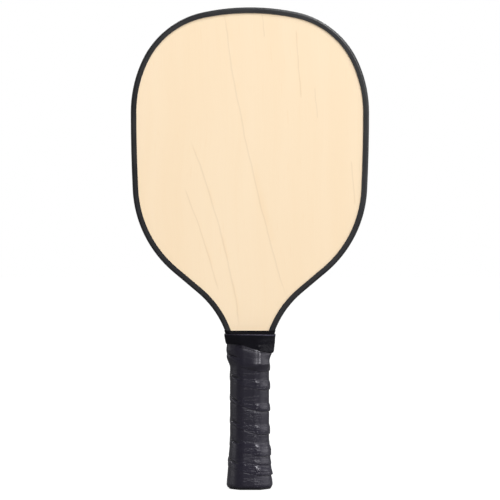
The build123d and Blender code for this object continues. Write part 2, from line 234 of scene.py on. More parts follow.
class Nodes:
    """Adds nodes to a node tree, and feeds their sockets with numbers or with other nodes."""

    def __init__(self, tree):
        self.tree = tree

    def feed(self, socket, value):
        if isinstance(value, Field):
            self.tree.links.new(value.socket, socket)
        else:
            socket.default_value = value

    def add(self, kind, feeds=(), output=0, **settings):
        """Add a node with these settings and inputs, and return one of its outputs."""
        made = self.tree.nodes.new(kind)
        for name, value in settings.items():
            setattr(made, name, value)
        for name, value in dict(feeds).items():
            self.feed(made.inputs[name], value)
        return Field(self, made.outputs[output])

    def math(self, operation, *values):
        return self.add("ShaderNodeMath", enumerate(values), operation=operation)

    def vector(self, operation, *values):
        return self.add("ShaderNodeVectorMath", enumerate(values), operation=operation)

    def slope(self, value, low, high, start=0.0, end=1.0, kind="LINEAR"):
        """Start below low, end above high, and an even slope between them."""
        feeds = {"Value": value, "From Min": low, "From Max": high, "To Min": start, "To Max": end}
        return self.add("ShaderNodeMapRange", feeds, interpolation_type=kind)

    def ramp(self, value, low, high, start=0.0, end=1.0):
        """Start below low, end above high, and a smooth change between them."""
        return self.slope(value, low, high, start, end, "SMOOTHSTEP")

    def fall(self, value, low, high):
        """1 below low, 0 above high, and a smooth change between them."""
        return self.ramp(value, low, high, 1.0, 0.0)

    def positive(self, value):
        """The value, or 0 where it is less."""
        return self.math("MAXIMUM", value, 0.0)

    def limited(self, value):
        """The value, held between 0 and 1."""
        return self.math("MINIMUM", self.positive(value), 1.0)

    def rounding(self, share):
        """How far a rounded edge falls back, in shares of its radius."""
        return 1.0 - self.math("SQRT", 1.0 - share * share)

    def parts(self, vector):
        """The x, y and z of a vector."""
        made = self.tree.nodes.new("ShaderNodeSeparateXYZ")
        self.feed(made.inputs[0], vector)
        return [Field(self, socket) for socket in made.outputs]

    def join(self, x, y, z):
        return self.add("ShaderNodeCombineXYZ", {"X": x, "Y": y, "Z": z})

    def mix(self, factor, first, second):
        """Mix two colours."""
        feeds = {"Factor": factor, 6: first, 7: second}
        return self.add("ShaderNodeMix", feeds, 2, data_type="RGBA")

    def noise(self, place, scale, detail=2.0, rough=0.5):
        """Soft noise from 0 to 1, at this many swells a metre."""
        feeds = {"Vector": place, "Scale": scale, "Detail": detail, "Roughness": rough}
        return self.add("ShaderNodeTexNoise", feeds, noise_dimensions="3D")

    def stretched(self, place, x, y, z):
        """A place with its axes scaled, so that a pattern on it is drawn out."""
        return self.vector("MULTIPLY", place, (x, y, z))

    def inputs(self, sizes, kind=FLOAT, **others):
        """Give a group these inputs and the others, by their kinds, and return them as fields."""
        kinds = dict.fromkeys(sizes, kind) | others
        for name in kinds:
            socket = self.tree.interface.new_socket(
                name=name, in_out="INPUT", socket_type=kinds[name])
            if name in sizes:
                socket.default_value = sizes[name]
        made = self.tree.nodes.new("NodeGroupInput")
        return {name: Field(self, made.outputs[name]) for name in kinds}

    def outputs(self, values, kind=FLOAT):
        """Give a group these named outputs, all of one kind."""
        for name in values:
            self.tree.interface.new_socket(name=name, in_out="OUTPUT", socket_type=kind)
        made = self.tree.nodes.new("NodeGroupOutput")
        for name, value in values.items():
            self.feed(made.inputs[name], value)

    def finish(self, surface, kind="Material"):
        """Wire a shader to the output of a material or of the world."""
        made = self.tree.nodes.new(f"ShaderNodeOutput{kind}")
        self.feed(made.inputs["Surface"], surface)

    def group(self, tree, feeds, *outputs):
        """Place a node group, and return these of its outputs."""
        made = self.tree.nodes.new(f"{self.tree.bl_idname[:-4]}Group")
        made.node_tree = tree
        for name, value in feeds.items():
            self.feed(made.inputs[name], value)
        return [Field(self, made.outputs[name]) for name in outputs]


def shader_group(name, build):
    """Build a shader node group once, and return it each time it is asked for."""
    tree = bpy.data.node_groups.get(name)
    if tree is None:
        tree = bpy.data.node_groups.new(name, "ShaderNodeTree")
        build(Nodes(tree))
    return tree


def build_uneven(nodes):
    """Soft clouds of tone, and a fine pebbled height, for moulded and coated surfaces."""
    given = nodes.inputs({"Cloud Scale": 60.0, "Grain Scale": 2500.0}, Place=VECTOR)
    cloud = nodes.noise(given["Place"], given["Cloud Scale"], 3.0)
    pebble = nodes.noise(given["Place"], given["Grain Scale"], 2.0, 0.6)
    nodes.outputs({"Cloud": cloud, "Pebble": pebble})


def build_wood_figure(nodes):
    """Long fibres, broad bands and short pores that run along Z."""
    scales = {"Fibre Scale": 900.0, "Band Scale": 55.0, "Pore Scale": 800.0}
    given = nodes.inputs(scales, Place=VECTOR)
    sway = nodes.noise(nodes.stretched(given["Place"], 6.0, 6.0, 9.0), 1.0, 1.0)
    sideways = nodes.join((sway - 0.5) * 0.02, 0.0, 0.0)
    place = nodes.vector("ADD", given["Place"], sideways)
    fibre = nodes.noise(nodes.stretched(place, 1.0, 1.0, 0.014), given["Fibre Scale"], 3.0, 0.6)
    band = nodes.noise(nodes.stretched(place, 1.0, 1.0, 0.06), given["Band Scale"])
    pore = nodes.noise(nodes.stretched(place, 1.0, 1.0, 0.07), given["Pore Scale"], 1.0)
    nodes.outputs({"Fibre": fibre, "Band": band, "Pore": nodes.ramp(pore, 0.66, 0.78)})


def build_grain_line(nodes):
    """One dark growth line that wanders down the veneer, with a warm stain along its right."""
    sizes = {
        "Top": 0.3, "Bottom": 0.1, "Top X": 0.0, "Bottom X": 0.0, "Bow": 0.0, "Width": 0.001,
        "Stain": 0.006,
    }
    given = nodes.inputs(sizes, Place=VECTOR)
    x, _, z = nodes.parts(given["Place"])
    down = (given["Top"] - z) / (given["Top"] - given["Bottom"])
    bend = down * (1.0 - down) * 4.0
    wander = nodes.noise(nodes.stretched(given["Place"], 0.0, 0.0, 22.0), 1.0, 3.0) - 0.5
    line = given["Top X"] + (given["Bottom X"] - given["Top X"]) * down
    line = line + given["Bow"] * bend + wander * 0.006
    beside = x - line
    ends = nodes.ramp(down, -0.03, 0.06) * nodes.fall(down, 0.94, 1.03)
    thick = given["Width"] * (nodes.noise(given["Place"], 45.0, 1.0) + 0.5)
    near = nodes.fall(abs(beside), 0.0, thick)
    right = nodes.fall(beside, 0.0, given["Stain"])
    left = nodes.ramp(beside, -0.001, 0.0)
    patchy = nodes.ramp(nodes.noise(given["Place"], 38.0, 1.0), 0.42, 0.66)
    nodes.outputs({"Line": near * ends, "Stain": right * left * ends * patchy})


def new_material(name):
    """An empty material, its node helper and the object's own coordinates."""
    material = bpy.data.materials.new(name)
    material.use_nodes = True
    material.node_tree.nodes.clear()
    nodes = Nodes(material.node_tree)
    place = nodes.add("ShaderNodeTexCoord", output="Object")
    return material, nodes, place


def finish_surface(nodes, height, bump, **feeds):
    """Wire a Principled shader, with a bump from this height field, to the material's output."""
    named = {name.replace("_", " "): value for name, value in feeds.items()}
    relief = {"Height": height, "Distance": bump, "Strength": 1.0}
    named["Normal"] = nodes.add("ShaderNodeBump", relief)
    shader = nodes.add("ShaderNodeBsdfPrincipled", named)
    nodes.finish(shader)


# ---- materials -----------------------------------------------


def scaled(colour, factor=1.0):
    """A colour made lighter or darker by this factor, with a full alpha."""
    return tuple(part * factor for part in colour) + (1.0,)


def wood_figure(nodes, place, fibre, band, pore):
    """A wood's fibres, bands and pores, each at this many swells a metre across the grain."""
    group = shader_group("wood_figure", build_wood_figure)
    scales = {"Place": place, "Fibre Scale": fibre, "Band Scale": band, "Pore Scale": pore}
    return nodes.group(group, scales, "Fibre", "Band", "Pore")


def uneven_surface(nodes, place, cloud, grain):
    """A surface's clouds and pebbled grain, each at this many swells a metre."""
    group = shader_group("uneven_surface", build_uneven)
    scales = {"Place": place, "Cloud Scale": cloud, "Grain Scale": grain}
    return nodes.group(group, scales, "Cloud", "Pebble")


def edge_mask(nodes):
    """The mask that a wrap's tree keeps on its mesh."""
    return nodes.add("ShaderNodeAttribute", output="Fac", attribute_name=EDGE_MASK)


# Growth lines of the two face veneers, in metres and in the order of these inputs
LINE_SIZES = ("Top", "Bottom", "Top X", "Bottom X", "Bow", "Width", "Stain")
FRONT_LINES = [
    (0.393, 0.163, -0.0218, 0.0284, -0.0042, 0.0010, 0.0075),
    (0.286, 0.137, -0.0478, -0.0092, 0.0044, 0.0011, 0.0035),
    (0.249, 0.166, -0.0540, -0.0270, 0.0015, 0.0009, 0.0030),
    (0.381, 0.325, 0.0374, 0.0428, 0.0004, 0.0008, 0.0015),
    (0.396, 0.375, 0.0095, 0.0112, 0.0, 0.0008, 0.0015),
    (0.333, 0.308, 0.0542, 0.0560, 0.0, 0.0007, 0.0015),
    (0.272, 0.236, 0.0840, 0.0876, 0.0, 0.0009, 0.0015),
]
REAR_LINES = [
    (0.397, 0.150, 0.0310, -0.0060, 0.0050, 0.0010, 0.0060),
    (0.372, 0.210, 0.0620, 0.0450, -0.0030, 0.0009, 0.0030),
    (0.310, 0.168, -0.0360, -0.0220, 0.0040, 0.0010, 0.0040),
    (0.388, 0.340, -0.0180, -0.0140, 0.0, 0.0007, 0.0015),
]


def veneer_material(name, colours, lines, shift):
    """Lacquered maple with fine fibres, short pores and a few growth lines."""
    material, nodes, place = new_material(name)
    growth = shader_group("grain_line", build_grain_line)
    shifted = nodes.vector("ADD", place, (shift, 0.0, 0.0))
    fibre, band, pore = wood_figure(nodes, shifted, 1100.0, 42.0, 620.0)
    amber, dark_amber = scaled(colours.veneer_amber), scaled(colours.veneer_amber, 0.55)
    tone = nodes.ramp(band, 0.3, 0.7, 0.0, 0.13) + nodes.ramp(fibre, 0.3, 0.7, 0.0, 0.06)
    colour = nodes.mix(tone, scaled(colours.veneer), amber)
    colour = nodes.mix(pore * 0.16, colour, amber)
    for sizes in lines:
        at = dict(zip(LINE_SIZES, sizes)) | {"Place": place}
        stain, line = nodes.group(growth, at, "Stain", "Line")
        colour = nodes.mix(stain * 0.22, colour, amber)
        colour = nodes.mix(line * 0.16, colour, dark_amber)
    rough = nodes.ramp(fibre, 0.2, 0.8, 0.46, 0.58)
    finish_surface(
        nodes, height=fibre, bump=0.02 * MM, Base_Color=colour, Roughness=rough,
        Specular_IOR_Level=0.35)
    return material


def plywood_material(name, colour):
    """Raw wood seen on edge and end, with open fibres."""
    material, nodes, place = new_material(name)
    fibre, band, pore = wood_figure(nodes, place, 1500.0, 120.0, 900.0)
    tint = nodes.mix(nodes.ramp(band, 0.3, 0.7), scaled(colour, 1.08), scaled(colour, 0.86))
    tint = nodes.mix(fibre * 0.4 + pore * 0.4, tint, scaled(colour, 0.6))
    finish_surface(
        nodes, height=fibre, bump=0.06 * MM, Base_Color=tint,
        Roughness=nodes.ramp(fibre, 0.2, 0.8, 0.7, 0.85))
    return material


def coated_material(name, colour, cloud_scale, grain_scale, bump, rough, tone=0.25):
    """A moulded or coated surface: clouded tone and gloss over a fine pebbled grain."""
    material, nodes, place = new_material(name)
    cloud, pebble = uneven_surface(nodes, place, cloud_scale, grain_scale)
    tint = nodes.mix(cloud, scaled(colour, 1.0 - tone), scaled(colour, 1.0 + tone))
    gloss = nodes.ramp(cloud, 0.25, 0.75, rough[0], rough[1]) + (pebble - 0.5) * 0.08
    finish_surface(nodes, height=pebble, bump=bump, Base_Color=tint, Roughness=gloss)
    return material


def grip_material(colour):
    """Pebbled leather creased along the turns; laps worn smooth, with a painted highlight."""
    material, nodes, place = new_material("cushion_leather")
    cloud, pebble = uneven_surface(nodes, place, 90.0, 1700.0)
    creases = nodes.noise(nodes.stretched(place, 35.0, 35.0, 420.0), 1.0, 3.0, 0.6)
    crease = nodes.fall(abs(creases - 0.5), 0.0, 0.05)
    worn_and_highlit = edge_mask(nodes)
    tint = nodes.mix(cloud, scaled(colour, 0.82), scaled(colour, 1.15))
    level = nodes.parts(place)[2]
    # The colour is made lighter towards the butt and stays as given up at the neck
    lighter_lower_down = nodes.slope(level, 0.020, 0.105, 1.0, 0.0)
    # Painted highlight: the colour is lightened on the worn laps' shoulders, where the lamps catch
    # them
    tint = nodes.mix(lighter_lower_down * 0.5 + worn_and_highlit * 0.25, tint, scaled(colour, 1.5))
    neck = nodes.ramp(level, 0.098, 0.103)
    gloss = nodes.ramp(cloud, 0.25, 0.75, 0.29, 0.33) - worn_and_highlit * 0.05 + neck * 0.03
    height = (pebble * 0.2 - crease * 0.3 + cloud * 0.6) * (1.0 - neck * 0.6)
    finish_surface(
        nodes, height=height, bump=0.16 * MM, Base_Color=tint, Roughness=gloss,
        Specular_IOR_Level=0.5, Specular_Tint=(0.96, 0.94, 1.0, 1.0))
    return material


def tape_material(name, colour, sheen):
    """Glossy stretched vinyl with pull lines round the neck, and a painted highlight along its cut
    edge.
    """
    material, nodes, place = new_material(name)
    cloud, pebble = uneven_surface(nodes, place, 150.0, 2600.0)
    pulls = nodes.noise(nodes.stretched(place, 40.0, 40.0, 900.0), 1.0, 3.0, 0.55)
    tint = nodes.mix(pulls, scaled(colour, 0.8), scaled(colour, 1.5))
    # Painted highlight: the cut upper edge is painted much lighter, as a line of light along the rim
    tint = nodes.mix(edge_mask(nodes), tint, scaled(colour, 12.0))
    gloss = nodes.ramp(cloud, 0.3, 0.7, 0.30, 0.40)
    height = pulls * 0.6 + pebble * 0.1 + cloud * 0.5
    finish_surface(
        nodes, height=height, bump=0.1 * MM, Base_Color=tint, Roughness=gloss,
        Specular_IOR_Level=sheen)
    return material


def steel_material(colour):
    """Drawn steel wire, with fine lines along its run."""
    material, nodes, place = new_material("staple_steel")
    lines = nodes.noise(nodes.stretched(place, 300.0, 9000.0, 9000.0), 1.0)
    tint = nodes.mix(lines, scaled(colour, 0.8), scaled(colour, 1.1))
    gloss = nodes.ramp(lines, 0.3, 0.7, 0.25, 0.42)
    finish_surface(
        nodes, height=lines, bump=0.01 * MM, Base_Color=tint, Roughness=gloss, Metallic=1.0)
    return material


def new_object(name, data):
    """An object of this data, linked to the scene."""
    made = bpy.data.objects.new(name, data)
    bpy.context.scene.collection.objects.link(made)
    return made


def dress(material, *names):
    """Give these fixed parts a finish."""
    for name in names:
        for place in NODES[name].material_slots:
            place.material = material


def keep_piece(piece, material, slot, *replaced):
    """Seat a finished piece on the paddle's one body, in place of these fixed parts."""
    piece.data.materials.clear()
    piece.data.materials.append(material)
    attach(piece, "root")
    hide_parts(*replaced)


# ---- the wound grip ------------------------------------------


def rounded_section(nodes, size, growth, radius):
    """The handle's eight-sided outline, moved out by growth, with rounded corners."""
    outline = nodes.add("GeometryNodeCurvePrimitiveQuadrilateral", {
        "Width": size["Handle Width"] + growth * 2.0,
        "Height": size["Handle Depth"] + growth * 2.0,
    })
    chamfer = size["Handle Chamfer"] + growth * (2.0 - math.sqrt(2.0))
    for corner, steps in ((chamfer, 1), (radius, 6)):
        feeds = {"Curve": outline, "Radius": corner, "Count": steps}
        outline = nodes.add("GeometryNodeFilletCurve", feeds, mode="POLY")
    return outline


def neck_bulge(nodes, size, x, y, z, faces_out):
    """How far the wrap stands out below the collar, on its broad sides."""
    reach = 12.0 * MM
    above = (z - size["Bulge Height"]) / reach
    rounded = nodes.math("SMOOTH_MIN", 1.0 - above, above * 2.6 + 1.0, 1.0)
    spread = faces_out * nodes.ramp(x, -11.0 * MM, -5.0 * MM)
    leaning = nodes.limited(rounded) * spread * nodes.ramp(x, -7.0 * MM, 4.0 * MM, 0.2, 0.85)

    # A lump over the guard's end, on the right-hand front
    beside = nodes.slope(x - size["Bulge Place"], 0.0, 1.8 * MM)
    lump = beside * beside * nodes.fall(y, -8.0 * MM, -5.0 * MM)
    held = nodes.ramp(above, -0.2, 0.0) * nodes.fall(above, 0.8, 1.4)

    # The collar presses the wrap in along its own slanted lower edge
    tape_slope = 0.33
    tape_line = z + x * tape_slope
    pressed_in = nodes.ramp(tape_line, 115.6 * MM, 117.2 * MM, 0.0, 0.17)
    pressed_in *= nodes.ramp(x, 3.0 * MM, 9.0 * MM, 0.1, 0.8)
    return size["Bulge"] * (held * lump * 0.23 + leaning - pressed_in * spread)


def place_on_handle(nodes, size, turn, growth, z):
    """The place at this turn round the handle and height, this far out from its surface."""
    per_turn, thick, gap = size["Points Per Turn"], size["Strip Thickness"], size["Fit Gap"]
    inside = rounded_section(nodes, size, gap, size["Inner Radius"])
    inner = nodes.add(
        "GeometryNodeResampleCurve", {"Curve": inside, "Count": per_turn}, mode="COUNT")
    outside = rounded_section(nodes, size, gap + thick, size["Corner Radius"])
    outer = nodes.add("GeometryNodeCurveToMesh", {"Curve": outside})
    here = nodes.add("GeometryNodeInputPosition")
    tangent = nodes.add("GeometryNodeInputTangent")
    away = nodes.vector("CROSS_PRODUCT", tangent, (0.0, 0.0, 1.0))
    room = nodes.add(
        "GeometryNodeProximity", {"Geometry": outer, "Sample Position": here}, "Distance",
        target_element="EDGES")
    back_turns = nodes.math("FLOORED_MODULO", (1.0 - turn) * per_turn, per_turn)
    index = nodes.add("FunctionNodeFloatToInt", {0: back_turns}, rounding_mode="ROUND")

    def on_section(value, kind):
        feeds = {"Geometry": inner, "Value": value, "Index": index}
        return nodes.add("GeometryNodeSampleIndex", feeds, data_type=kind)

    point = on_section(here, "FLOAT_VECTOR")
    normal = on_section(away, "FLOAT_VECTOR")
    squeeze = on_section(room, "FLOAT") / thick
    skirt = size["Skirt Flare"] * nodes.slope(z, size["Skirt Foot"], size["Skirt End"], 1.0, 0.0)
    x, y = nodes.parts(point)[:2]
    slanted = z - x * size["Neck Slant"]
    step_up = size["Guard Step"] * nodes.ramp(slanted, size["Step Foot"], size["Step Top"])
    flare_up = size["Neck Flare"] * nodes.slope(z, size["Guard End"], size["Top"])
    bulge = neck_bulge(nodes, size, x, y, z, abs(nodes.parts(normal)[1]))
    half = size["Handle Width"] * 0.5
    side = nodes.slope(abs(x), half - size["Handle Chamfer"], half)
    widening = (step_up + flare_up) * side * nodes.math("SIGN", x)
    dent_at = nodes.join(x * 45.0, y * 45.0, z * 90.0 + size["Seed"])
    dents = (nodes.noise(dent_at, 1.0) - 0.5) * 2.0 * size["Unevenness"]
    worn = nodes.ramp(growth, 0.3 * thick, 0.7 * thick)
    lift = skirt + growth * squeeze + (bulge + dents) * worn
    moved = nodes.add("ShaderNodeVectorMath", {0: normal, "Scale": lift}, operation="SCALE")
    return nodes.vector("ADD", nodes.vector("ADD", point, moved), nodes.join(widening, 0.0, z))


def closed_grid(nodes, long_steps, across_steps):
    """A flat grid, with how far each of its points lies along it and round its section."""
    grid = nodes.add("GeometryNodeMeshGrid", {
        "Size X": 1.0, "Size Y": 1.0, "Vertices X": long_steps + 1.0,
        "Vertices Y": across_steps + 1.0,
    })
    grid_x, grid_y = nodes.parts(nodes.add("GeometryNodeInputPosition"))[:2]
    along = nodes.math("ROUND", (grid_x + 0.5) * long_steps)
    row = nodes.math("ROUND", (grid_y + 0.5) * across_steps)
    across = nodes.math("FLOORED_MODULO", row, across_steps) / across_steps
    return grid, along, across


def two_sides(nodes, across, outer_share):
    """How far up the outer side and then back down the inner one, and 1 on the outer side."""
    up = nodes.math("MINIMUM", across / outer_share, 1.0)
    back = nodes.positive(across - outer_share) / (1.0 - outer_share)
    return up, back, nodes.math("LESS_THAN", across, outer_share)


def shape_grid(nodes, grid, place, mask):
    """Keep a mask on a grid, which has to come first, and then move its points into place."""
    feeds = {"Geometry": grid, "Name": EDGE_MASK, "Value": mask}
    marked = nodes.add("GeometryNodeStoreNamedAttribute", feeds, data_type="FLOAT", domain="POINT")
    return nodes.add("GeometryNodeSetPosition", {"Geometry": marked, "Position": place})


def ledge(nodes, rise, foot, height):
    """A low step at this rise, that fades out above it: the edge of a layer underneath."""
    up = nodes.ramp(rise, foot - 0.4 * MM, foot + 0.3 * MM)
    fade = nodes.fall(rise, foot + 1.2 * MM, foot + 4.6 * MM)
    return up * fade * height


def build_wound_strip(nodes, size):
    """A strip wound up the handle, each turn over the top edge of the one below."""
    width, thick, edge = size["Strip Width"], size["Strip Thickness"], size["Edge Thickness"]
    per_turn = size["Points Per Turn"]
    grid, along, across = closed_grid(nodes, size["Turns"] * per_turn, size["Points Across"])
    turn = along / per_turn

    def edge_height(turns):
        """Height of the strip's lower edge: level at first, then climbing."""
        climb = nodes.math("SMOOTH_MAX", turns - size["Level Turns"], 0.0, 0.12)
        settled = nodes.ramp(climb, 0.0, 0.8)
        drift = nodes.math("SINE", (climb - size["Drift Start"]) * (FULL_TURN / 5.0))
        round_front = turns + size["Start Turn"] - size["Front Turn"]
        lean = nodes.math("SINE", round_front * FULL_TURN - math.radians(100))
        sag = nodes.math("SINE", round_front * (2.0 * FULL_TURN) - math.radians(23))
        wander = lean * size["Back Lean"] + sag * size["Corner Sag"] - drift * size["Hand Drift"]
        foot = size["Foot"] - size["Foot Drop"] * (1.0 - settled)
        return foot + size["Pitch"] * climb + wander * settled

    def full_width(turns):
        """The strip's width: it tapers in over its start and runs out level at its top."""
        start = nodes.limited(turns / size["Taper Turns"])
        head_room = nodes.positive(size["Top"] - edge_height(turns))
        return nodes.math("MINIMUM", width * start, head_room)

    lower = edge_height(turn)
    here = full_width(turn)
    below = turn - 1.0
    lap = edge_height(below) + full_width(below) - lower
    has_lap = nodes.ramp(lap, 0.0, 2.0 * MM) * nodes.ramp(below, -0.02, 0.05)
    lap = nodes.positive(lap)

    # Outer side: up from the lower edge, over the lap, down its shoulder and out at the top
    up, back, outside = two_sides(nodes, across, 0.76)
    rise = here * nodes.math("POWER", up, 1.3)
    on_lap = nodes.fall(rise, lap, lap + size["Shoulder"]) * has_lap
    height_there = lower + rise
    # Worn shoulders of the laps; the leather's colour is also lightened there as a painted highlight
    worn_and_highlit = nodes.fall(rise, lap + size["Shoulder"] * 0.5, lap + size["Shoulder"])
    worn_and_highlit *= has_lap
    smoothed = nodes.ramp(height_there, NECK_STEPS, NECK_TOP)
    on_lap *= (1.0 - smoothed * 0.75)

    # The strip is pulled tight over the left-hand front, and held down by the collar. A place
    # round the handle is in turns to the left of the front's middle.
    left_side = nodes.math("FRACT", turn + size["Start Turn"] - size["Front Turn"])
    from_middle = nodes.math("FRACT", left_side + 0.5) - 0.5
    pulled_tight = nodes.ramp(from_middle, -0.09, -0.05)
    pulled_tight *= nodes.ramp(from_middle, 0.17, 0.25, 1.0, 0.15)
    pulled_tight *= nodes.fall(from_middle, 0.38, 0.48)
    pulled_tight *= nodes.fall(lower, NECK_FOOT, NECK_LAPS)
    under_tape = height_there - nodes.math("SINE", left_side * FULL_TURN) * (3.3 * MM)
    held_down = 1.0 - nodes.ramp(under_tape, 113.5 * MM, 117.0 * MM) * 0.15
    thinned = nodes.slope(rise, here - width * 0.25, here)
    crown = nodes.math("SINE", nodes.math("MINIMUM", rise / (lap + 0.1 * MM), 1.0) * math.pi)
    on_left = nodes.ramp(left_side, 0.06, 0.10) * nodes.fall(left_side, 0.19, 0.24)
    on_lap += (0.6 - on_lap) * on_left * has_lap
    smoothed_lap = 1.0 - pulled_tight * 0.85
    out = thick - (thick - edge) * thinned + edge * (on_lap * smoothed_lap + pulled_tight * 0.8)
    out += crown * has_lap * size["Lap Crown"] * smoothed_lap
    at_front = nodes.fall(abs(from_middle), 0.11, 0.17)
    puffed = nodes.ramp(lower, NECK_FOOT, NECK_LAPS) * nodes.fall(rise, 3 * MM, 8 * MM)
    out += puffed * at_front * (0.2 * MM)
    beside = (rise - lap + 0.6 * MM) / (0.8 * MM)
    groove = nodes.math("EXPONENT", beside * beside * -1.0)
    out -= groove * on_left * has_lap * size["Left Crease"]
    first = nodes.ramp(turn, 1.3, 1.5) * nodes.fall(turn, 2.3, 2.5)
    for foot, height in ((3.4 * MM, 0.30 * MM), (9.0 * MM, 0.42 * MM)):
        out += ledge(nodes, rise, foot, height) * first * smoothed_lap
    bend = size["Foot Radius"]
    out -= bend * nodes.rounding(nodes.positive(bend - height_there) / bend)
    nose = 0.5 * MM
    out = (out - nose * nodes.rounding(nodes.positive(1.0 - rise / nose))) * held_down

    # Inner side: back down the handle, then over the edge of the turn below
    back_rise = here * (1.0 - back)
    under = nodes.fall(back_rise, lap, lap + 0.4 * MM) * has_lap
    into = under * (edge + (thick - edge) * nodes.slope(back_rise, 0.0, lap, 1.0, 0.0))

    growth = (into + (out - into) * outside) * nodes.ramp(here, 0.0, 2.5 * MM)
    height = back_rise + (rise - back_rise) * outside
    below_neck = nodes.fall(height_there, NECK_LAPS, NECK_STEPS)
    mask = worn_and_highlit * below_neck * outside * nodes.ramp(rise, 0.0, 1.0 * MM)
    place = place_on_handle(nodes, size, turn + size["Start Turn"], growth, lower + height)
    return shape_grid(nodes, grid, place, mask)


def build_collar(nodes, size):
    """Thin tape round the top of the wrap, with a torn, crumpled end at its right-hand front."""
    per_turn, thick = size["Points Per Turn"], size["Tape Thickness"]
    grid, along, across = closed_grid(nodes, per_turn, size["Points Across"])
    turn = along / per_turn
    seen = nodes.math("FLOORED_MODULO", size["Left Turn"] - turn, 1.0)
    tear = size["Tear Start"]
    dip = nodes.slope(seen, tear - 0.12, tear + 0.065)
    torn = nodes.ramp(seen, tear, tear + 0.04)
    run_out = nodes.ramp(seen, tear + 0.04, tear + 0.13)
    home = nodes.ramp(seen, 0.45, 0.97)
    ragged_at = nodes.join(seen * 60.0, 0.0, size["Seed"])
    ragged = (nodes.noise(ragged_at, 1.0, 3.0) - 0.5) * 1.2 * MM
    fall = (dip * 0.78 + run_out * 0.22) * (1.0 - home)
    left, right = size["Collar Foot Left"], size["Collar Foot Right"]
    foot = left + (right - left) * fall
    foot += ragged * (0.25 + torn * (1.0 - home))

    # Up the outside, over the top rim, and down the inside
    up, back, outside = two_sides(nodes, across, 0.62)
    top = size["Collar Top"]
    height = foot + (top - foot) * (1.0 - back + (up - 1.0 + back) * outside)
    below_top = top - height
    rim = nodes.positive(1.0 - below_top / (0.9 * MM))
    rolled = 0.55 * MM * (1.0 - nodes.math("SQRT", 1.0 - rim * rim * 0.98))
    creased = nodes.ramp(below_top, 3.0 * MM, 7.0 * MM) * torn * (1.0 - home)
    folds_at = nodes.join(seen * 70.0, 0.0, height * 520.0)
    folds = nodes.noise(folds_at, 1.0, 2.0, 0.6) * size["Crumple"] * creased
    pulls = nodes.noise(nodes.join(seen * 9.0, 1.0, height * 330.0), 1.0) * 0.22 * MM
    lifted = nodes.ramp(height, top - 9.0 * MM, top) * size["Rim Lift"]
    pinched = nodes.ramp(height - foot, 0.0, 3.0 * MM, 0.2 * MM, 0.0)
    base = size["Squeezed Strip"] + lifted + folds + pulls - pinched
    growth = base + (thick - rolled) * outside
    # Painted highlight: a thin line just under the top rim, which the tape's material paints much
    # lighter
    slant = nodes.ramp(seen, 0.25, 0.36, 0.3 * MM, 1.0 * MM)
    off_edge = abs(below_top - slant)
    rim_highlight = nodes.fall(off_edge, 0.1 * MM, 0.45 * MM)
    rim_highlight *= nodes.ramp(seen, 0.06, 0.2, 0.3, 1.0)
    return shape_grid(nodes, grid, place_on_handle(nodes, size, turn, growth, height), rim_highlight)


def close_up(nodes, geometry, material):
    """Merge a tree's open seams, smooth its faces and give it its material."""
    merged = nodes.add("GeometryNodeMergeByDistance", {"Geometry": geometry, "Distance": SEAM})
    smooth = nodes.add("GeometryNodeSetShadeSmooth", {"Geometry": merged})
    real = nodes.add("GeometryNodeRealizeInstances", {"Geometry": smooth})
    done = nodes.add("GeometryNodeSetMaterial", {"Geometry": real, "Material": material})
    nodes.outputs({"Geometry": done}, "NodeSocketGeometry")


def grow(name, tree, values):
    """Make a plain mesh from a geometry node tree with these values for its inputs."""
    piece = new_object(name, bpy.data.meshes.new(name))
    modifier = piece.modifiers.new(name, "NODES")
    modifier.node_group = tree
    for socket in tree.interface.items_tree:
        if socket.in_out == "INPUT" and socket.name in values:
            modifier[socket.identifier] = values[socket.name]
    evaluated = piece.evaluated_get(bpy.context.evaluated_depsgraph_get())
    piece.data = bpy.data.meshes.new_from_object(evaluated)
    piece.data.name = name
    piece.modifiers.clear()
    if len(piece.data.polygons) == 0:
        raise RuntimeError(f"the node tree made no faces for {name}")
    return piece


def face_outwards(piece):
    """Turn every face of a closed mesh outwards."""
    work = bmesh.new()
    work.from_mesh(piece.data)
    bmesh.ops.recalc_face_normals(work, faces=work.faces)
    work.to_mesh(piece.data)
    work.free()


def sizes_of(settings):
    """A group's sizes and plain numbers, under the names that the panel and the trees share."""
    numbers = [entry for entry in settings.bl_rna.properties if entry.type == "FLOAT"]
    return {
        entry.name: getattr(settings, entry.identifier) for entry in numbers if not entry.is_array
    }


def wrap_values(scene, settings):
    """Inputs of a wrap's tree: the handle that it goes round, its fit and its own sizes."""
    fit = {"Fit Gap": 0.1 * MM, "Inner Radius": 4.0 * MM, "Top": GRIP_HIGH.z}
    return sizes_of(scene.paddle_handle) | fit | sizes_of(settings)


def wrap_piece(name, build, values, counts, material):
    """Build a wrap's node tree with these named inputs, and make its mesh."""
    tree = bpy.data.node_groups.new(name, "GeometryNodeTree")
    nodes = Nodes(tree)
    size = nodes.inputs(values, Material="NodeSocketMaterial")
    size |= nodes.inputs(counts, "NodeSocketInt")
    close_up(nodes, build(nodes, size), size["Material"])
    piece = grow(name, tree, values | counts | {"Material": material})
    face_outwards(piece)
    return piece


class PADDLE_OT_cushion_grip(Operator):
    """Wind the cushioned strip up the handle"""

    bl_idname = "paddle.cushion_grip"
    bl_label = "Cushion Grip"

    def execute(self, context):
        grip = context.scene.paddle_grip
        values = wrap_values(context.scene, grip) | {
            "Foot": GRIP_LOW.z, "Turns": 8.3, "Start Turn": 0.66, "Front Turn": 0.3115,
            "Taper Turns": 0.8, "Drift Start": 0.57,
        }
        counts = {"Points Per Turn": 150, "Points Across": 60}
        leather = grip_material(grip.colour)
        piece = wrap_piece("cushion_grip_wound", build_wound_strip, values, counts, leather)
        keep_piece(piece, leather, "cushion_grip", "cushion_grip")
        return {"FINISHED"}


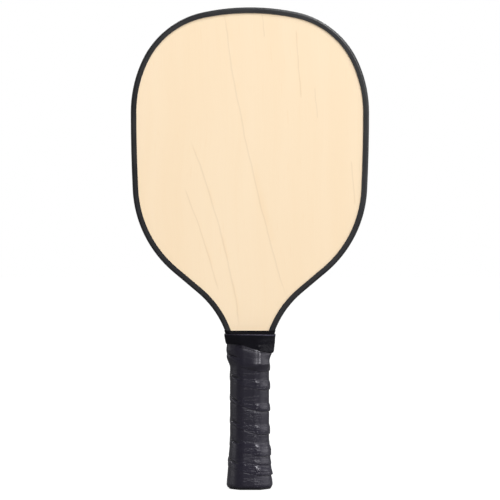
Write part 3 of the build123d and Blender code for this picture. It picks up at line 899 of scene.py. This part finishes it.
class PADDLE_OT_collar(Operator):
    """Wind the finishing tape over the top of the wrap"""

    bl_idname = "paddle.collar"
    bl_label = "Collar"

    def execute(self, context):
        tape = context.scene.paddle_tape
        values = wrap_values(context.scene, tape) | {
            "Strip Thickness": context.scene.paddle_grip.strip_thickness, "Left Turn": 0.5,
            "Unevenness": 0.0,
        }
        counts = {"Points Per Turn": 260, "Points Across": 64}
        vinyl = tape_material("collar_vinyl", tape.colour, 0.10)
        piece = wrap_piece("collar_tape_wound", build_collar, values, counts, vinyl)
        keep_piece(piece, vinyl, "finishing_tape", "collar_tape")
        return {"FINISHED"}


class PADDLE_OT_neck_tape(Operator):
    """Finish the tape round the neck above the collar"""

    bl_idname = "paddle.neck_tape"
    bl_label = "Neck Tape"

    def execute(self, context):
        # Painted shade: the neck tape is the collar's tape painted down to 0.6 of its colour, a
        # shaded copy of it
        colour = [part * 0.6 for part in context.scene.paddle_tape.colour]
        dress(tape_material("neck_vinyl", colour, 0.04), "neck_tape")
        return {"FINISHED"}


# ---- the other pieces ----------------------------------------


class PADDLE_OT_blade(Operator):
    """Finish the seven plies of the blade"""

    bl_idname = "paddle.blade"
    bl_label = "Blade"

    def execute(self, context):
        colours = context.scene.paddle_colours
        front = veneer_material("maple_veneer_front", colours, FRONT_LINES, 0.0)
        rear = veneer_material("maple_veneer_rear", colours, REAR_LINES, 0.31)
        crossband = plywood_material("crossband_ply", colours.crossband)
        inner = plywood_material("inner_ply", colours.inner_ply)
        dress(front, "face_veneer_front")
        dress(rear, "face_veneer_rear")
        dress(crossband, "crossband_front", "core_ply", "crossband_rear")
        dress(inner, "inner_ply_front", "inner_ply_rear")
        return {"FINISHED"}


class PADDLE_OT_edge_guard(Operator):
    """Finish the edge guard and the tape that holds it"""

    bl_idname = "paddle.edge_guard"
    bl_label = "Edge Guard"

    def execute(self, context):
        colours = context.scene.paddle_colours
        vinyl = coated_material(
            "guard_vinyl", colours.guard, 35.0, 1800.0, 0.04 * MM, (0.34, 0.46))
        tape = coated_material(
            "bond_tape", colours.bond_tape, 200.0, 3000.0, 0.04 * MM, (0.55, 0.7), tone=0.06)
        dress(vinyl, "edge_guard")
        dress(tape, "edge_bond_tape")
        return {"FINISHED"}


class PADDLE_OT_handle_core(Operator):
    """Finish the handle scales, the butt cap and its staples"""

    bl_idname = "paddle.handle_core"
    bl_label = "Handle Core"

    def execute(self, context):
        colours = context.scene.paddle_colours
        wood = plywood_material("handle_wood", colours.handle_wood)
        plastic = coated_material(
            "cap_plastic", colours.cap, 120.0, 2200.0, 0.05 * MM, (0.45, 0.58))
        steel = steel_material(colours.staple)
        dress(wood, "handle_scale_front", "handle_scale_rear")
        dress(plastic, "butt_cap")
        dress(steel, "butt_cap_staples")
        return {"FINISHED"}


# ---- the stage -----------------------------------------------


def aim(thing, target):
    """Turn a lamp or camera so that it looks at a point."""
    way = Vector(target) - thing.location
    thing.rotation_euler = way.to_track_quat("-Z", "Y").to_euler()


def add_lamp(name, turn, lift, distance, size, power, target=(0.0, 0.0, 0.2)):
    """A soft lamp: turn is degrees right of the camera's side, lift degrees up."""
    data = bpy.data.lights.new(name, "AREA")
    data.shape = "RECTANGLE"
    data.size, data.size_y = size
    data.energy = power
    lamp = new_object(name, data)
    turn, lift = math.radians(turn), math.radians(lift)
    way = Vector((math.sin(turn) * math.cos(lift), -math.cos(turn) * math.cos(lift), math.sin(lift)))
    lamp.location = Vector(target) + way * distance
    aim(lamp, target)


def pale_room(world, stage):
    """A room with bright side walls and dim ends, that the camera itself sees as plain white."""
    world.use_nodes = True
    world.node_tree.nodes.clear()
    nodes = Nodes(world.node_tree)
    across, depth, up = nodes.parts(nodes.add("ShaderNodeTexCoord", output="Generated"))
    left_right = nodes.ramp(across, -0.5, 0.5, stage.room_left, stage.room_right)
    ahead = nodes.ramp(depth + nodes.positive(across) * 0.5, -0.5, -0.1)
    behind = nodes.fall(depth, 0.10, 0.45)
    front_back = nodes.ramp(depth, -0.2, 0.3, stage.room_front, stage.room_back)
    wall = nodes.ramp(up, 0.1, 0.6, 1.0, 0.1) * nodes.ramp(up, -0.3, 0.05, 0.15, 1.0)
    level = front_back + (left_right - front_back) * ahead * behind * wall
    room = nodes.add("ShaderNodeBackground", {"Color": WHITE, "Strength": level})
    plain = nodes.add("ShaderNodeBackground", {"Color": WHITE, "Strength": 1.0})
    seen = nodes.add("ShaderNodeLightPath", output="Is Camera Ray")
    through = nodes.add("ShaderNodeLightPath", output="Is Transmission Ray")
    shown = nodes.math("MAXIMUM", seen, through)
    both = nodes.add("ShaderNodeMixShader", {0: shown, 1: room, 2: plain})
    nodes.finish(both, "World")


def floor_material():
    """Pale floor that looks white to the camera and keeps a faint shadow of the paddle."""
    material, nodes, place = new_material("pale_floor")
    tint = nodes.mix(nodes.noise(place, 2.0), scaled(WHITE[:3], 0.19), scaled(WHITE[:3], 0.21))
    matte = nodes.add("ShaderNodeBsdfDiffuse", {"Color": tint})
    seen = nodes.add("ShaderNodeLightPath", output="Is Camera Ray")
    across, away = nodes.parts(place)[:2]
    level = nodes.ramp(across * across + away * away, 5.0, 30.0, 0.88, 0.96)
    glow = nodes.add("ShaderNodeEmission", {"Color": WHITE, "Strength": seen * level})
    both = nodes.add("ShaderNodeAddShader", {0: matte, 1: glow})
    nodes.finish(both)
    return material


class PADDLE_OT_stage(Operator):
    """Set up the camera, the lamps, the floor and the white surroundings"""

    bl_idname = "paddle.stage"
    bl_label = "Stage"

    def execute(self, context):
        stage = context.scene.paddle_stage
        scene = context.scene
        data = bpy.data.cameras.new("paddle_camera")
        data.lens = stage.lens
        data.sensor_width = 36.0
        camera = new_object("paddle_camera", data)
        middle = 0.00007
        camera.location = (middle, -stage.distance, stage.camera_height)
        aim(camera, (middle, 0.0, stage.camera_height))
        scene.camera = camera

        add_lamp("key_lamp", 22.0, 27.0, 5.0, (1.0, 1.4), stage.key_power)
        add_lamp("top_lamp", 30.0, 62.0, 5.0, (2.2, 1.1), stage.top_power)
        for name, turn in (("back_lamp_left", -145.0), ("back_lamp_right", 145.0)):
            add_lamp(name, turn, 42.0, 3.0, (1.2, 1.2), stage.back_power)

        world = bpy.data.worlds.new("pale_room")
        scene.world = world
        pale_room(world, stage)

        reach = 12.0
        corners = [(-reach, -reach, 0), (reach, -reach, 0), (reach, reach, 0), (-reach, reach, 0)]
        sheet = bpy.data.meshes.new("floor")
        sheet.from_pydata(corners, [], [(0, 1, 2, 3)])
        sheet.materials.append(floor_material())
        floor = new_object("floor", sheet)
        scene.view_settings.view_transform = "Standard"
        return {"FINISHED"}


# ---- panel and registration ----------------------------------

OPERATORS = (
    PADDLE_OT_blade,
    PADDLE_OT_edge_guard,
    PADDLE_OT_handle_core,
    PADDLE_OT_cushion_grip,
    PADDLE_OT_collar,
    PADDLE_OT_neck_tape,
    PADDLE_OT_stage,
)
SETTINGS = {
    "paddle_handle": HandleSizes,
    "paddle_grip": GripSizes,
    "paddle_tape": TapeSizes,
    "paddle_colours": FinishColours,
    "paddle_stage": StageSettings,
}


class PADDLE_PT_panel(Panel):
    """Lists the steps that dress the paddle"""

    bl_idname = "PADDLE_PT_panel"
    bl_label = "Pickleball Paddle"
    bl_space_type = "VIEW_3D"
    bl_region_type = "UI"
    bl_category = "Paddle"

    def draw(self, context):
        for operator in OPERATORS:
            self.layout.operator(operator.bl_idname)


def register():
    for settings in SETTINGS.values():
        bpy.utils.register_class(settings)
    for name, settings in SETTINGS.items():
        setattr(bpy.types.Scene, name, PointerProperty(type=settings))
    for operator in OPERATORS:
        bpy.utils.register_class(operator)
    bpy.utils.register_class(PADDLE_PT_panel)


def unregister():
    bpy.utils.unregister_class(PADDLE_PT_panel)
    for operator in reversed(OPERATORS):
        bpy.utils.unregister_class(operator)
    for name in SETTINGS:
        delattr(bpy.types.Scene, name)
    for settings in SETTINGS.values():
        bpy.utils.unregister_class(settings)


def main():
    register()
    for operator in OPERATORS:
        family, step = operator.bl_idname.split(".")
        getattr(getattr(bpy.ops, family), step)()


if __name__ == "__main__":
    main()
